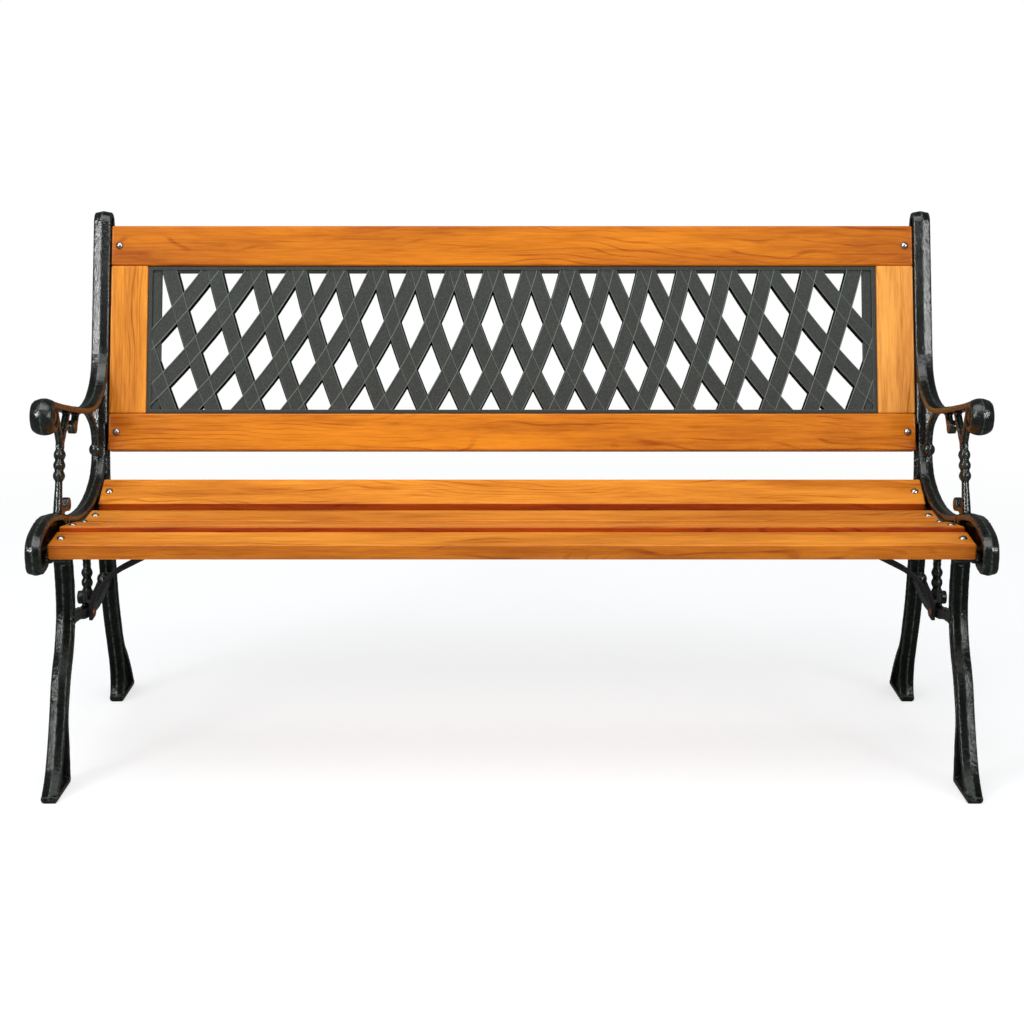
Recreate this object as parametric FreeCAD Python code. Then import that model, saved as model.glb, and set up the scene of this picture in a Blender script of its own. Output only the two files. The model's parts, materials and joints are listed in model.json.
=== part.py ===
import FreeCAD, Part

import math
import os

from FreeCAD import Placement, Rotation, Vector

# A garden bench: two cast end frames that carry wooden slats and a wooden backrest with a lattice panel.
# Millimetres. X runs along the bench, -Y is the front, +Z is up; the origin is on the floor under the middle.

# Overall sizes
end_spacing = 1195.0
seat_height = 336.0
back_lean = 17.0
post_top_margin = 6.0

# Wooden stock, shared by slats, rails and stiles; only the top rail is wider
wood_width = 54.0
top_rail_width = 59.0
wood_thickness = 20.0
wood_edge_round = 2.5
wood_end_gap = 1.0

# Cast sections: widths lie along X, depths and thicknesses lie in the plane of the casting
post_width = 25.0
arm_width = 24.0
rail_width = 20.0
leg_width = 22.0
stretcher_width = 16.0
stretcher_thickness = 14.0
branch_width = 10.0
branch_thickness = 7.0
flange_thickness = 10.0
back_flange = 7.0
ridge_height = 2.5
web_thickness = 10.0
rail_web_thickness = 8.0
leg_depth = 25.0
wood_set_back = 6.0
web_margin = 3.0
lug_thickness = 8.0
lug_width = 28.0
lug_margin = 13.0

# Scroll at the front of the arm
scroll_y = -164.0
scroll_rise = 156.0
scroll_radius = 24.0
scroll_width = 30.0
scroll_crown = 6.0
scroll_eye_radius = 7.0
scroll_recess = 3.0

# Outlines of the casting as (y, height): rail and arm heights count from the seat, the others from the floor
hip_y = 140.5
hip_rise = 97.0
seat_rail_line = [(-218, -28), (-236, -32), (-251, -31.5), (-261, -23), (-263.5, -9), (-262, 5),
                  (-253, 16), (-224, 27), (-188, 31.5), (-150, 27.5), (-107, 17), (-60, 6.5), (-20, 1),
                  (20, 0), (60, 5.5), (90, 15), (114, 29), (130, 53)]
seat_web_line = [(-214, -23), (-190, -31), (-120, -33), (-60, -42), (0, -46), (60, -43), (104, -30),
                 (150, -2)]
arm_line = [(-120, 169), (-60, 156), (0, 144), (50, 136), (90, 135), (123, 144), (152, 164), (172, 198)]
arm_root = (170.0, 270.0)
front_leg_low = [(-247, 9), (-227, 26), (-205, 57), (-186, 94), (-165, 140)]
front_leg_high = [(-133, -149), (-120, -118), (-116.5, -88), (-118, -56), (-124, -16), (-127, 12)]
front_leg_heel = [(-175, 4), (-172, 45)]
rear_leg_low = [(178, 7), (185, 24), (186, 48), (177, 83), (165, 118)]
rear_leg_high = [(155, -181), (149, -136), (144, -86), (139, -36), (135, 14)]
rear_leg_heel = [(255, 4), (229, 45)]
rear_leg_overlap = 25.0
foot_thickness = 9.0
brace_seat = (2.0, 196.0)
stretcher_line = [(-107, 211.5), (-75, 209.5), (-49, 206.5), (-22, 199.5), brace_seat, (34, 193.5), (66, 194),
                  (98, 199), (128, 205), (160, 208)]
stretcher_boss = (130.0, 204.0)
stretcher_boss_radius = 10.0

# Ornaments of the casting, with heights counted the same way
upper_baluster_foot = (-122.0, 18.0)
upper_baluster_top = (-90.0, 106.0)
upper_fork_tips = [(-112.0, 160.0), (-42.0, 145.0)]
lower_baluster_foot = (20.0, 189.0)
lower_baluster_top = (29.0, -84.0)
lower_fork_tips = [(4.0, -40.0), (60.0, -38.0)]
baluster_radius = 6.5
baluster_waist = 5.0
bead_radius = 8.3
bead_pitch = 14.0
bead_count = 3
beads_below_top = 48.0
arm_volute = (-16.0, 118.0)
arm_volute_root = (12.0, 138.0)
rail_volute = (-74.0, 23.0)
rail_volute_root = (-116.0, 22.0)
stretcher_volute = (-9.0, 213.0)
stretcher_volute_root = (22.0, 197.0)
volute_radius = 9.5
volute_width = 11.0
volute_stem_inset = 1.5
volute_eye_radius = 4.5
strut_line = [(62, 132), (94, 116), (114, 96), (119, 70)]
bud_spot = (119.0, 62.0)
bud_radius = 10.0

# Seat slats as (front top edge y, its height over the seat, tilt towards the rear in degrees)
seat_slats = {
    "seat_slat_front": (-235.0, 4.6, 5.5),
    "seat_slat_second": (-169.0, 13.4, -7.5),
    "seat_slat_middle": (-104.0, 5.0, -11.7),
    "seat_slat_fourth": (-35.0, -8.4, 3.5),
    "seat_slat_rear": (62.0, -5.3, 29.5),
}
braced_slat = "seat_slat_fourth"

# Backrest
bottom_rail_drop = 39.0
stile_length = 217.0
groove_depth = 6.0
groove_width = 7.0
tongue_clearance = 0.3
dowel_diameter = 8.0
dowel_length = 36.0
dowel_margin = 10.0
dowel_clearance = 0.1

# Lattice panel: bowed strips fan out, and each one leans more than its neighbour
rim_width = 6.0
rim_recess = 3.0
rim_thickness = 13.0
side_lip = 13.0
top_lip = 3.0
lip_recess = 4.0
strip_width = 24.8
strip_thickness = 10.5
strip_recess = 1.5
strip_step = 1.0
strip_pitch = 55.1
strip_pitch_growth = 0.053
strip_first = -9.5
strip_count = 18
strip_shift = 94.0
strip_shift_slope = 0.154
strip_shift_growth = 0.00021
strip_bow = 7.9
strip_bow_slope = 0.0096

# Fasteners
bolt_diameter = 6.0
bolt_head_diameter = 11.0
bolt_head_height = 3.4
bolt_inset = 12.0
bolt_tail = 2.5
hole_clearance = 0.5
washer_diameter = 14.0
washer_thickness = 1.5
nut_across_flats = 10.0
nut_height = 5.0
thread_clearance = 0.1

# Strap braces, from the inner face of the stretcher to the underside of the braced slat
strap_width = 22.0
strap_thickness = 5.0
strap_foot_rise = 6.0
strap_foot_drop = 9.0
strap_foot_bend = 12.0
strap_lift = 72.0
strap_bend = 103.0
strap_slope = 27.0
strap_top_bend = 60.0
strap_tab = 58.0
screw_diameter = 4.0
screw_head_diameter = 8.0
screw_head_height = 2.4
screw_length = 15.0
screw_spacing = 32.0

# Worked out from the sizes above
end_plane = end_spacing / 2
wood_length = end_spacing - post_width - 2 * wood_end_gap
slat_length = end_spacing - leg_width - 2 * wood_end_gap
brace_face_x = end_plane - stretcher_width / 2
panel_half = wood_length / 2 - wood_width
panel_low = wood_width - bottom_rail_drop
panel_high = panel_low + stile_length
back_length = panel_high + top_rail_width + post_top_margin
back_depth = wood_set_back + wood_thickness + lug_thickness + web_margin
grip = wood_thickness + lug_thickness
dowel_spacing = wood_width - 2 * dowel_margin - dowel_diameter


# Places

def from_seat(points):
    return [Vector(0, y, seat_height + rise) for y, rise in points]


def from_floor(points):
    return [Vector(0, y, z) for y, z in points]


def seat_point(spot):
    return from_seat([spot])[0]


def floor_point(spot):
    return from_floor([spot])[0]


def back_frame():
    hip = seat_point((hip_y, hip_rise))
    return Placement(hip, Rotation(Vector(1, 0, 0), 90 - back_lean))


def back_point(height, depth):
    return back_frame().multVec(Vector(0, height, -depth))


def slat_frame(name):
    y, rise, tilt = seat_slats[name]
    return Placement(seat_point((y, rise)), Rotation(Vector(1, 0, 0), tilt))


def rail_frame(low_edge):
    return back_frame() * Placement(Vector(0, low_edge, -wood_set_back), Rotation())


def board_frames():
    frames = {name: slat_frame(name) for name in seat_slats}
    frames["backrest_bottom_rail"] = rail_frame(-bottom_rail_drop)
    frames["backrest_top_rail"] = rail_frame(panel_high)
    return frames


def board_width(name):
    return top_rail_width if name == "backrest_top_rail" else wood_width


def board_length(name):
    return slat_length if name in seat_slats else wood_length


def bolt_x(name):
    return board_length(name) / 2 - bolt_inset


def bolt_frame(name, x):
    return board_frames()[name] * Placement(Vector(x, board_width(name) / 2, 0), Rotation())


def placed(shape, frame):
    copy = shape.copy()
    copy.Placement = frame * copy.Placement
    return copy


def mirrored(shape):
    return shape.mirror(Vector(0, 0, 0), Vector(1, 0, 0))


# Smooth lines of tangent arcs

def left_of(direction):
    return Vector(0, -direction.z, direction.y)


def straight(start, end):
    return Part.LineSegment(start, end).toShape()


def start_of(edge):
    return edge.valueAt(edge.FirstParameter)


def end_of(edge):
    return edge.valueAt(edge.LastParameter)


def mirrored_heading(run, heading):
    chord = Vector(run).normalize()
    return (chord * (2 * chord.dot(heading)) - heading).normalize()


def headings(points):
    inner = []
    for before, here, after in zip(points, points[1:], points[2:]):
        back_run = here - before
        next_run = after - here
        pull = back_run / back_run.Length ** 2 + next_run / next_run.Length ** 2
        inner.append(pull.normalize())
    first = mirrored_heading(points[1] - points[0], inner[0])
    last = mirrored_heading(points[-1] - points[-2], inner[-1])
    return [first] + inner + [last]


def arc_middle(start, heading, end):
    chord = end - start
    side = left_of(chord)
    turn = math.atan2(heading.dot(side), heading.dot(chord))
    return start + chord / 2 + side * (math.tan(turn / 2) / 2), abs(turn)


def arc_from(start, heading, end):
    middle, turn = arc_middle(start, heading, end)
    if turn < 1e-4:
        return straight(start, end)
    return Part.Arc(start, middle, end).toShape()


def arc_into(start, end, end_heading):
    middle, turn = arc_middle(end, end_heading * -1, start)
    if turn < 1e-4:
        return straight(start, end)
    return Part.Arc(start, middle, end).toShape()


def two_arcs(start, heading, end, end_heading):
    run = end - start
    spread = 2 * (1 - heading.dot(end_heading))
    along = run.dot(heading + end_heading)
    if spread < 1e-9:
        reach = run.dot(run) / (2 * along)
    else:
        reach = (math.sqrt(along ** 2 + spread * run.dot(run)) - along) / spread
    joint = (start + end + (heading - end_heading) * reach) / 2
    return [arc_from(start, heading, joint), arc_into(joint, end, end_heading)]


def smooth_edges(points):
    ways = headings(points)
    edges = []
    for index in range(len(points) - 1):
        edges += two_arcs(points[index], ways[index], points[index + 1], ways[index + 1])
    return edges


def offset_points(points, distance):
    return [point + left_of(way) * distance for point, way in zip(points, headings(points))]


# Sections and solids in the plane of the casting

def closed_face(corners):
    return Part.Face(Part.makePolygon(corners + corners[:1]))


def ridged_section(width):
    half = width / 2
    low = -flange_thickness
    return [(-half, -ridge_height), (0, 0), (half, -ridge_height), (half, low), (-half, low)]


def flat_section(width, thickness):
    half = width / 2
    return [(-half, 0), (half, 0), (half, -thickness), (-half, -thickness)]


def two_flange_section(width, depth):
    half = width / 2
    web = web_thickness / 2
    front = -flange_thickness
    back = back_flange - depth
    right = [(half, -ridge_height), (half, front), (web, front), (web, back), (half, back), (half, -depth)]
    left = [(-x, low) for x, low in reversed(right)]
    return right + left + [(0, 0)]


def swept(edges, section):
    pieces = []
    for edge in edges:
        side = left_of(edge.tangentAt(edge.FirstParameter))
        face = closed_face([start_of(edge) + Vector(x, 0, 0) + side * depth for x, depth in section])
        if isinstance(edge.Curve, Part.Circle):
            turn = math.degrees(edge.LastParameter - edge.FirstParameter)
            pieces.append(face.revolve(edge.Curve.Center, edge.Curve.Axis, turn))
        else:
            pieces.append(face.extrude(end_of(edge) - start_of(edge)))
    return fused(pieces)


def fused(solids):
    whole = solids[0]
    for solid in solids[1:]:
        whole = whole.fuse(solid)
    joined = whole.removeSplitter().Solids
    if len(joined) != 1:
        raise ValueError("the members do not join into one solid")
    return joined[0]


def plate(edges, thickness):
    solid = Part.Face(Part.Wire(edges)).extrude(Vector(thickness, 0, 0))
    solid.translate(Vector(-thickness / 2, 0, 0))
    return solid


def disc(centre, radius, width):
    return Part.makeCylinder(radius, width, centre - Vector(width / 2, 0, 0), Vector(1, 0, 0))


def bar(start, end, width, thickness):
    half = left_of((end - start).normalize()) * (thickness / 2)
    return swept([straight(start + half, end + half)], flat_section(width, thickness))


# Members of one casting, on the middle plane x = 0 with the lugs towards -x

def back_post():
    corners = [Vector(x, 0, low) for x, low in two_flange_section(post_width, back_depth)]
    return placed(closed_face(corners).extrude(Vector(0, back_length, 0)), back_frame())


def post_top():
    radius = back_depth / 2
    axis = back_point(back_length, radius)
    across = (back_point(back_length, 0) - axis).normalize()
    corners = [axis + Vector(x, 0, 0) + across * (radius + low) for x, low in ridged_section(post_width)]
    roll = closed_face(corners).revolve(axis, Vector(-1, 0, 0), 180)
    return [roll, disc(axis, radius - ridge_height, web_thickness)]


def arm():
    top = seat_point((scroll_y, scroll_rise + scroll_radius))
    root = [back_point(height, 0) for height in arm_root]
    return swept(smooth_edges([top] + from_seat(arm_line) + root), ridged_section(arm_width))


def arm_scroll():
    centre = seat_point((scroll_y, scroll_rise))
    half = scroll_width / 2
    rim = scroll_radius - scroll_crown
    inner = rim - flange_thickness / 2
    floor = half - scroll_recess
    right = [(half, 0), (half, scroll_eye_radius), (floor, scroll_eye_radius), (floor, inner), (half, inner),
             (half, rim)]
    left = [(-x, out) for x, out in reversed(right)]
    corners = [centre + Vector(x, 0, out) for x, out in left + right]
    edges = [straight(here, there) for here, there in zip(corners, corners[1:]) if here != there]
    edges.append(Part.Arc(corners[-1], centre + Vector(0, 0, scroll_radius), corners[0]).toShape())
    return Part.Face(Part.Wire(edges)).revolve(centre, Vector(1, 0, 0), 360)


def seat_rail():
    line = from_seat(seat_rail_line) + [back_point(height, 0) for height in (0, hip_rise)]
    rail = swept(smooth_edges(line), ridged_section(rail_width))
    upper = smooth_edges(offset_points(line, -flange_thickness / 2))
    lower = smooth_edges(from_seat(seat_web_line))
    corner = back_point(hip_rise, back_depth - back_flange)
    outline = upper + lower
    outline += [straight(end_of(upper[-1]), corner), straight(corner, end_of(lower[-1]))]
    outline.append(straight(start_of(lower[0]), start_of(upper[0])))
    return [rail, plate(Part.sortEdges(outline)[0], rail_web_thickness)]


def leg(line, heel):
    front = swept(smooth_edges(line), ridged_section(leg_width))
    back_line = from_floor(heel) + offset_points(line, back_flange - leg_depth)[len(heel) + 1:]
    back = swept(smooth_edges(back_line), flat_section(leg_width, back_flange))
    upper = smooth_edges(offset_points(line, -flange_thickness / 2))
    lower = smooth_edges(offset_points(back_line, -back_flange / 2))
    ends = [straight(start_of(upper[0]), start_of(lower[0])), straight(end_of(upper[-1]), end_of(lower[-1]))]
    web = plate(Part.sortEdges(upper + lower + ends)[0], web_thickness)
    toe_y = line[0].y
    reach = back_line[0].y + back_flange - toe_y
    sole = Part.makeBox(leg_width, reach, foot_thickness, Vector(-leg_width / 2, toe_y, 0))
    return [front, back, web, sole]


def front_leg():
    return leg(from_floor(front_leg_low) + from_seat(front_leg_high), front_leg_heel)


def rear_leg():
    inset = back_depth - leg_depth
    ends = [back_point(height, inset) for height in (-rear_leg_overlap, rear_leg_overlap)]
    return leg(from_floor(rear_leg_low) + from_seat(rear_leg_high) + ends, rear_leg_heel)


def stretcher():
    bar_line = smooth_edges(from_floor(stretcher_line))
    boss = Part.makeSphere(stretcher_boss_radius, floor_point(stretcher_boss))
    return [swept(bar_line, flat_section(stretcher_width, stretcher_thickness)), boss]


def baluster(low, high):
    axis = high - low
    level = axis.Length - beads_below_top
    edges = [straight(Vector(0, 0, 0), Vector(baluster_radius, 0, 0))]
    edges.append(straight(Vector(baluster_radius, 0, 0), Vector(baluster_waist, 0, level)))
    for bead in range(bead_count):
        swell = Vector(bead_radius, 0, level + bead_pitch / 2)
        top = Vector(baluster_waist, 0, level + bead_pitch)
        edges.append(Part.Arc(Vector(baluster_waist, 0, level), swell, top).toShape())
        level += bead_pitch
    crown = Vector(baluster_radius, 0, axis.Length)
    edges.append(straight(Vector(baluster_waist, 0, level), crown))
    edges.append(straight(crown, Vector(0, 0, axis.Length)))
    edges.append(straight(Vector(0, 0, axis.Length), Vector(0, 0, 0)))
    solid = Part.Face(Part.Wire(edges)).revolve(Vector(0, 0, 0), Vector(0, 0, 1), 360)
    return placed(solid, Placement(low, Rotation(Vector(0, 0, 1), axis)))


def fork(stem, tips):
    branches = []
    for tip in tips:
        root = stem - (tip - stem).normalize() * baluster_radius
        branches.append(bar(root, tip, branch_width, branch_thickness))
    return branches


def volute(centre, root):
    rim = disc(centre, volute_radius, volute_width)
    for side in (-1, 1):
        face = centre + Vector(side * volute_width / 2, 0, 0)
        rim = rim.cut(disc(face, volute_radius - branch_thickness / 2, scroll_recess))
    below = left_of((centre - root).normalize())
    if below.z > 0:
        below = below * -1
    stem_end = centre + below * (volute_radius - branch_thickness / 2 - volute_stem_inset)
    eye = disc(centre, volute_eye_radius, volute_width)
    return [rim, eye, bar(root, stem_end, branch_width, branch_thickness)]


def strut():
    curl = swept(smooth_edges(from_seat(strut_line)), flat_section(branch_width, branch_thickness))
    return [curl, Part.makeSphere(bud_radius, seat_point(bud_spot))]


def lug(name):
    tip_x = bolt_x(name) - lug_margin - end_plane
    corner = Vector(0, -lug_width / 2, -grip)
    return placed(Part.makeBox(-tip_x, lug_width, lug_thickness, corner), bolt_frame(name, tip_x))


def brace_spot():
    way = headings(from_floor(stretcher_line))[stretcher_line.index(brace_seat)]
    return floor_point(brace_seat) - left_of(way) * (stretcher_thickness / 2)


def bolt_bore(length):
    return Part.makeCylinder((bolt_diameter + hole_clearance) / 2, 2 * length, Vector(0, 0, -length))


def casting():
    members = [back_post()] + rear_leg() + post_top() + seat_rail()
    members += front_leg() + [arm(), arm_scroll()] + stretcher() + strut()
    members.append(baluster(seat_point(upper_baluster_foot), seat_point(upper_baluster_top)))
    members.append(baluster(floor_point(lower_baluster_foot), seat_point(lower_baluster_top)))
    members += fork(seat_point(upper_baluster_top), from_seat(upper_fork_tips))
    members += fork(seat_point(lower_baluster_top), from_seat(lower_fork_tips))
    members += volute(seat_point(arm_volute), seat_point(arm_volute_root))
    members += volute(seat_point(rail_volute), seat_point(rail_volute_root))
    members += volute(floor_point(stretcher_volute), floor_point(stretcher_volute_root))
    members += [lug(name) for name in board_frames()]
    whole = fused(members)
    spots = [bolt_frame(name, bolt_x(name) - end_plane) for name in board_frames()]
    holes = [placed(bolt_bore(2 * grip), spot) for spot in spots]
    holes.append(disc(brace_spot(), (bolt_diameter + hole_clearance) / 2, 2 * stretcher_width))
    end_frame = whole.cut(holes).Solids[0]
    end_frame.translate(Vector(end_plane, 0, 0))
    return end_frame


# Wooden boards: the top face is z = 0 and the front or lower edge is y = 0

def board(length, width):
    blank = Part.makeBox(length, width, wood_thickness, Vector(-length / 2, 0, -wood_thickness))
    long_edges = [edge for edge in blank.Edges if edge.Length == length]
    return blank.makeFillet(wood_edge_round, long_edges)


def groove(length, edge_y):
    middle = rim_recess + rim_thickness / 2
    low = edge_y - groove_depth if edge_y > 0 else edge_y
    corner = Vector(-length / 2, low, -middle - groove_width / 2)
    return Part.makeBox(length, groove_depth, groove_width, corner)


def dowel_places(height):
    middle = panel_half + wood_width / 2
    depth = -wood_set_back - wood_thickness / 2
    offsets = (-dowel_spacing / 2, dowel_spacing / 2)
    return [Vector(side * middle + offset, height, depth) for side in (-1, 1) for offset in offsets]


def dowels(clearance):
    solids = []
    for height in (panel_low, panel_high):
        for place in dowel_places(height):
            start = place - Vector(0, dowel_length / 2 + clearance, 0)
            pin = Part.makeCylinder(dowel_diameter / 2 + clearance, dowel_length + 2 * clearance, start,
                                    Vector(0, 1, 0))
            solids.append(placed(pin, back_frame()))
    return solids


def through_board(name):
    wood = board(board_length(name), board_width(name))
    if name == "backrest_bottom_rail":
        wood = wood.cut(groove(2 * (panel_half + groove_depth), wood_width))
    if name == "backrest_top_rail":
        wood = wood.cut(groove(2 * (panel_half + groove_depth), 0))
    wood = placed(wood, board_frames()[name])
    wood = wood.cut([placed(bolt_bore(2 * wood_thickness), seat) for seat in bolt_seats([name])])
    if name.startswith("backrest"):
        wood = wood.cut(dowels(dowel_clearance))
    if name == braced_slat:
        wood = wood.cut(brace_screws(thread_clearance))
    return wood


def stile(side):
    upright = Placement(Vector(side * panel_half, panel_low + stile_length / 2, -wood_set_back),
                        Rotation(Vector(0, 0, 1), -90 * side))
    wood = placed(board(stile_length, wood_width).cut(groove(2 * stile_length, 0)), back_frame() * upright)
    return wood.cut(dowels(dowel_clearance))


# Lattice panel, in the frame of the backrest: x along the bench, y up the back, z towards the front

def panel_box(side_inset, low_inset, top_inset, recess, thickness):
    width = 2 * (panel_half - side_inset)
    height = stile_length - low_inset - top_inset
    corner = Vector(-width / 2, panel_low + low_inset, -wood_set_back - recess - thickness)
    return Part.makeBox(width, height, thickness, corner)


def strip(top_x, recess):
    shift = strip_shift + strip_shift_slope * top_x + strip_shift_growth * top_x ** 2
    bow = strip_bow + strip_bow_slope * top_x
    top = Vector(top_x, panel_high, 0)
    low = Vector(top_x + shift, panel_low, 0)
    bend = Part.Arc(top, (top + low) / 2 - Vector(bow, 0, 0), low).toShape().Curve
    back = bend.Center - Vector(0, 0, wood_set_back + recess + strip_thickness)
    ring = Part.makeCylinder(bend.Radius + strip_width / 2, strip_thickness, back)
    return ring.cut(Part.makeCylinder(bend.Radius - strip_width / 2, strip_thickness, back))


def strips(recess):
    steps = [strip_first + index for index in range(strip_count)]
    return [strip(strip_pitch * step + strip_pitch_growth * step ** 3, recess) for step in steps]


def lattice_panel():
    gap = tongue_clearance
    back_thickness = rim_thickness - lip_recess
    rim = panel_box(gap, gap, gap, rim_recess, rim_thickness)
    rim = rim.cut(panel_box(rim_width, rim_width, rim_width, 0, wood_thickness))
    lip = panel_box(gap, gap, gap, rim_recess + lip_recess, back_thickness)
    lip = lip.cut(panel_box(rim_width + side_lip, rim_width, rim_width + top_lip, 0, wood_thickness))
    reach = gap - groove_depth
    tongue_thickness = groove_width - 2 * gap
    tongue_recess = rim_recess + (rim_thickness - tongue_thickness) / 2
    tongue = panel_box(reach, reach, reach, tongue_recess, tongue_thickness)
    tongue = tongue.cut(panel_box(rim_width / 2, rim_width / 2, rim_width / 2, 0, wood_thickness))
    front_level = rim_recess + strip_recess
    leaning = strips(front_level) + [mirrored(piece) for piece in strips(front_level + strip_step)]
    window = panel_box(rim_width / 2, rim_width / 2, rim_width / 2, 0, wood_thickness)
    leaning = [piece.common(window) for piece in leaning]
    leaning = [piece for piece in leaning if piece.Volume > 0]
    return placed(fused([rim, lip, tongue] + leaning), back_frame())


# Fasteners, along +z with the seat of the head at z = 0

def dome_bolt(clamped):
    radius = bolt_diameter / 2
    rim = bolt_head_diameter / 2
    tip = -(clamped + washer_thickness + nut_height + bolt_tail)
    dome = (rim ** 2 + bolt_head_height ** 2) / (2 * bolt_head_height)
    half_turn = math.asin(rim / dome) / 2
    crown = Vector(0, 0, bolt_head_height)
    shoulder = crown + Vector(math.sin(half_turn), 0, math.cos(half_turn) - 1) * dome
    corners = [Vector(0, 0, tip), Vector(radius, 0, tip), Vector(radius, 0, 0), Vector(rim, 0, 0)]
    edges = [straight(start, end) for start, end in zip(corners, corners[1:])]
    edges.append(Part.Arc(corners[-1], shoulder, crown).toShape())
    edges.append(straight(crown, corners[0]))
    return Part.Face(Part.Wire(edges)).revolve(Vector(0, 0, 0), Vector(0, 0, 1), 360)


def washer(clamped):
    bore = Part.makeCylinder((bolt_diameter + hole_clearance) / 2, 3 * washer_thickness,
                             Vector(0, 0, -clamped - 2 * washer_thickness))
    ring = Part.makeCylinder(washer_diameter / 2, washer_thickness, Vector(0, 0, -clamped - washer_thickness))
    return ring.cut(bore)


def nut(clamped):
    radius = nut_across_flats / math.sqrt(3)
    base = -clamped - washer_thickness - nut_height
    turns = [math.radians(60 * index) for index in range(6)]
    corners = [Vector(radius * math.cos(turn), radius * math.sin(turn), base) for turn in turns]
    bore = Part.makeCylinder(bolt_diameter / 2 + thread_clearance, 3 * nut_height,
                             Vector(0, 0, base - nut_height))
    return closed_face(corners).extrude(Vector(0, 0, nut_height)).cut(bore)


def bolt_seats(names):
    return [bolt_frame(name, side * bolt_x(name)) for name in names for side in (-1, 1)]


def brace_seats():
    seats = []
    for side in (-1, 1):
        spot = brace_spot() + Vector(side * (brace_face_x - strap_thickness), 0, 0)
        seats.append(Placement(spot, Rotation(Vector(0, 1, 0), -90 * side)))
    return seats


# Strap braces, in the frame of the braced slat

def strap_centre():
    return slat_frame(braced_slat).inverse().multVec(brace_spot())


def strap_heading(angle):
    turn = math.radians(angle)
    return Vector(-math.cos(turn), 0, math.sin(turn))


def strap_inward(angle):
    turn = math.radians(angle)
    return Vector(-math.sin(turn), 0, -math.cos(turn))


def strap_line(inset):
    bends = [(strap_foot_bend, 90, strap_lift), (strap_bend, strap_lift, strap_slope)]
    bends.append((strap_top_bend, strap_slope, 0))
    foot = strap_foot_drop + strap_foot_rise
    place = Vector(brace_face_x - inset, 0, strap_centre().z - strap_foot_drop)
    rise = -wood_thickness - place.z - foot
    for radius, start, end in bends:
        rise -= radius * (math.cos(math.radians(end)) - math.cos(math.radians(start)))
    run = rise / math.sin(math.radians(strap_slope))
    edges = []
    for length, (radius, start, end) in zip((foot, 0, run), bends):
        if length:
            edges.append(straight(place, place + strap_heading(start) * length))
            place = end_of(edges[-1])
        centre = place + strap_inward(start) * (radius - inset)
        halfway = centre - strap_inward((start + end) / 2) * (radius - inset)
        far = centre - strap_inward(end) * (radius - inset)
        edges.append(Part.Arc(place, halfway, far).toShape())
        place = far
    edges.append(straight(place, place + strap_heading(0) * strap_tab))
    return edges


def screw_places():
    tab = strap_line(0)[-1]
    middle = (start_of(tab) + end_of(tab)) / 2 + Vector(0, strap_centre().y, -strap_thickness)
    return [middle + Vector(offset, 0, 0) for offset in (-screw_spacing / 2, screw_spacing / 2)]


def screw(place, clearance):
    shank = Part.makeCylinder(screw_diameter / 2 + clearance, screw_length + clearance, place)
    head = Part.makeCone(screw_head_diameter / 4, screw_head_diameter / 2, screw_head_height,
                         place - Vector(0, 0, screw_head_height))
    return shank.fuse(head)


def brace_screws(clearance):
    right = [placed(screw(place, clearance), slat_frame(braced_slat)) for place in screw_places()]
    return right + [mirrored(solid) for solid in right]


def seat_brace():
    outer = strap_line(0)
    inner = strap_line(strap_thickness)
    ends = [straight(start_of(outer[0]), start_of(inner[0])), straight(end_of(outer[-1]), end_of(inner[-1]))]
    face = Part.Face(Part.Wire(Part.sortEdges(outer + inner + ends)[0]))
    strap = face.extrude(Vector(0, strap_width, 0))
    strap.translate(Vector(0, strap_centre().y - strap_width / 2, 0))
    strap = placed(strap, slat_frame(braced_slat))
    foot_hole = brace_spot() + Vector(brace_face_x, 0, 0)
    bores = [disc(foot_hole, (bolt_diameter + hole_clearance) / 2, strap_width)]
    for place in screw_places():
        bore = Part.makeCylinder((screw_diameter + hole_clearance) / 2, 2 * strap_thickness, place)
        bores.append(placed(bore, slat_frame(braced_slat)))
    return strap.cut(bores)


# Every node of the bench

def write(name, solids):
    shape = solids[0] if len(solids) == 1 else Part.makeCompound(solids)
    shape.exportStep(os.path.join("parts", name + ".step"))


def write_fasteners(name, seats, clamped):
    write(name + "_bolts", [placed(dome_bolt(clamped), seat) for seat in seats])
    write(name + "_washers", [placed(washer(clamped), seat) for seat in seats])
    write(name + "_nuts", [placed(nut(clamped), seat) for seat in seats])


os.makedirs("parts", exist_ok=True)
right_end = casting()
write("end_frame_right", [right_end])
write("end_frame_left", [mirrored(right_end)])
for board_name in board_frames():
    write(board_name, [through_board(board_name)])
write("backrest_left_stile", [stile(-1)])
write("backrest_right_stile", [stile(1)])
write("lattice_panel", [lattice_panel()])
write("stile_dowels", dowels(0))
right_brace = seat_brace()
write("seat_brace_right", [right_brace])
write("seat_brace_left", [mirrored(right_brace)])
write("seat_brace_screws", brace_screws(0))
write_fasteners("seat_slat", bolt_seats(seat_slats), grip)
write_fasteners("backrest", bolt_seats(["backrest_bottom_rail", "backrest_top_rail"]), grip)
write_fasteners("seat_brace", brace_seats(), strap_thickness + stretcher_width)
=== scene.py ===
import json
import math

import bmesh
import bpy
import numpy as np
from mathutils import Matrix, Vector, noise

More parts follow.
